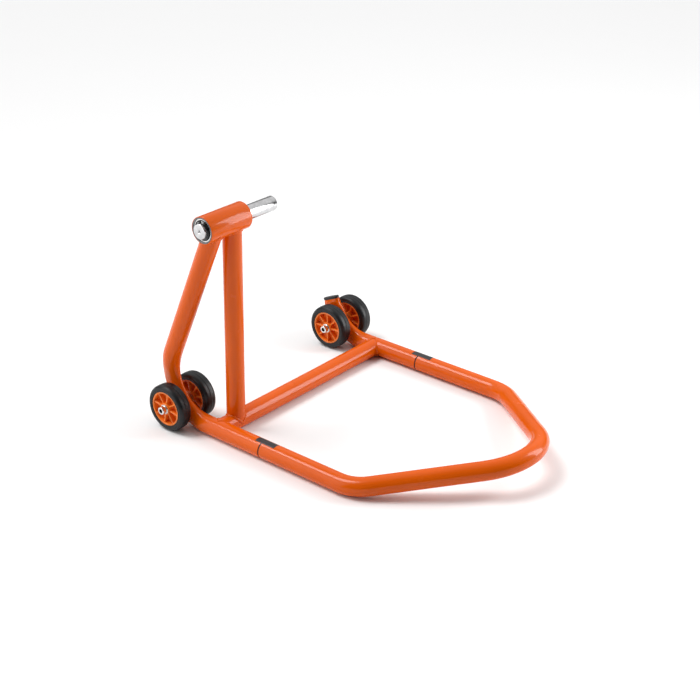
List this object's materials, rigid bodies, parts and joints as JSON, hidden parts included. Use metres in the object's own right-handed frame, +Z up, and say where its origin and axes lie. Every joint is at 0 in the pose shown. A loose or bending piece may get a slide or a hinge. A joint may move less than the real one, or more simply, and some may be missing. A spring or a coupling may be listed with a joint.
{
  "type": "motorcycle paddock stand",
  "caption": "Tubular paddock stand: a low triangular frame on small paired wheels, a propped bearing housing that carries a free-turning lifting pin, and a keyed handle loop.",
  "frame": {"origin": "middle of the bounding box, on the floor", "axes": "+X along the lifting pin towards the far wheels, +Y from the handle to the wheels, +Z up"},
  "size_m": [0.501, 0.6053, 0.3907],
  "materials": {
    "frame_paint": "glossy powder coat",
    "tyre": "satin rubber",
    "rim": "semi-gloss moulding",
    "bush": "plain turned",
    "fastener": "bright zinc",
    "key": "satin dark grey",
    "joint_ring": "matt",
    "sleeve": "plain drawn",
    "cap": "matt",
    "pin": "polished plate",
    "seal": "matt",
    "bearing": "ground",
    "clip": "spring steel"
  },
  "bodies": {
    "frame": {"near_side_tube": "frame_paint", "far_side_tube": "frame_paint", "crossbar": "frame_paint", "post": "frame_paint", "pin_housing": "frame_paint", "handle_loop": "frame_paint", "joint_sleeve_near": "sleeve", "joint_sleeve_far": "sleeve", "joint_ring_near": "joint_ring", "joint_ring_far": "joint_ring", "joint_key_near": "key", "joint_key_far": "key", "joint_screw_near": "fastener", "joint_screw_far": "fastener", "far_end_cap": "cap", "axle_bolt_near": "fastener", "axle_bolt_far": "fastener", "axle_spacer_near": "fastener", "axle_spacer_far": "fastener", "axle_washer_near_left": "fastener", "axle_washer_near_right": "fastener", "axle_washer_far_left": "fastener", "axle_washer_far_right": "fastener", "axle_nut_near": "fastener", "axle_nut_far": "fastener", "bearing_outer_left": "bearing", "bearing_outer_right": "bearing", "bearing_seal_left_left": "seal", "bearing_seal_left_right": "seal", "bearing_seal_right_left": "seal", "bearing_seal_right_right": "seal"},
    "wheel_near_left": {"tyre_near_left": "tyre", "rim_near_left": "rim", "bush_near_left": "bush"},
    "wheel_near_right": {"tyre_near_right": "tyre", "rim_near_right": "rim", "bush_near_right": "bush"},
    "wheel_far_left": {"tyre_far_left": "tyre", "rim_far_left": "rim", "bush_far_left": "bush"},
    "wheel_far_right": {"tyre_far_right": "tyre", "rim_far_right": "rim", "bush_far_right": "bush"},
    "spindle": {"lifting_pin": "pin", "circlip_left": "clip", "circlip_right": "clip", "bearing_inner_left": "bearing", "bearing_inner_right": "bearing"},
    "balls_left": {"bearing_balls_left": "bearing"},
    "balls_right": {"bearing_balls_right": "bearing"}
  },
  "joints": [
    {"name": "wheel_near_left_spin", "type": "hinge", "parent": "frame", "child": "wheel_near_left", "pos_m": [-0.2295, 0.2626, 0.04], "axis": [1, 0, 0], "continuous": true},
    {"name": "wheel_near_right_spin", "type": "hinge", "parent": "frame", "child": "wheel_near_right", "pos_m": [-0.1725, 0.2626, 0.04], "axis": [1, 0, 0], "continuous": true},
    {"name": "wheel_far_left_spin", "type": "hinge", "parent": "frame", "child": "wheel_far_left", "pos_m": [0.1725, 0.2626, 0.04], "axis": [1, 0, 0], "continuous": true},
    {"name": "wheel_far_right_spin", "type": "hinge", "parent": "frame", "child": "wheel_far_right", "pos_m": [0.2295, 0.2626, 0.04], "axis": [1, 0, 0], "continuous": true},
    {"name": "spindle_spin", "type": "hinge", "parent": "frame", "child": "spindle", "pos_m": [-0.1776, 0.1764, 0.3686], "axis": [1, 0, 0], "continuous": true},
    {"name": "balls_left_orbit", "type": "hinge", "parent": "frame", "child": "balls_left", "pos_m": [-0.2164, 0.1764, 0.3686], "axis": [1, 0, 0], "continuous": true},
    {"name": "balls_right_orbit", "type": "hinge", "parent": "frame", "child": "balls_right", "pos_m": [-0.1388, 0.1764, 0.3686], "axis": [1, 0, 0], "continuous": true}
  ],
  "couplings": [
    {"joint": "balls_left_orbit", "follows": "spindle_spin", "ratio": 0.4435},
    {"joint": "balls_right_orbit", "follows": "spindle_spin", "ratio": 0.4435}
  ]
}
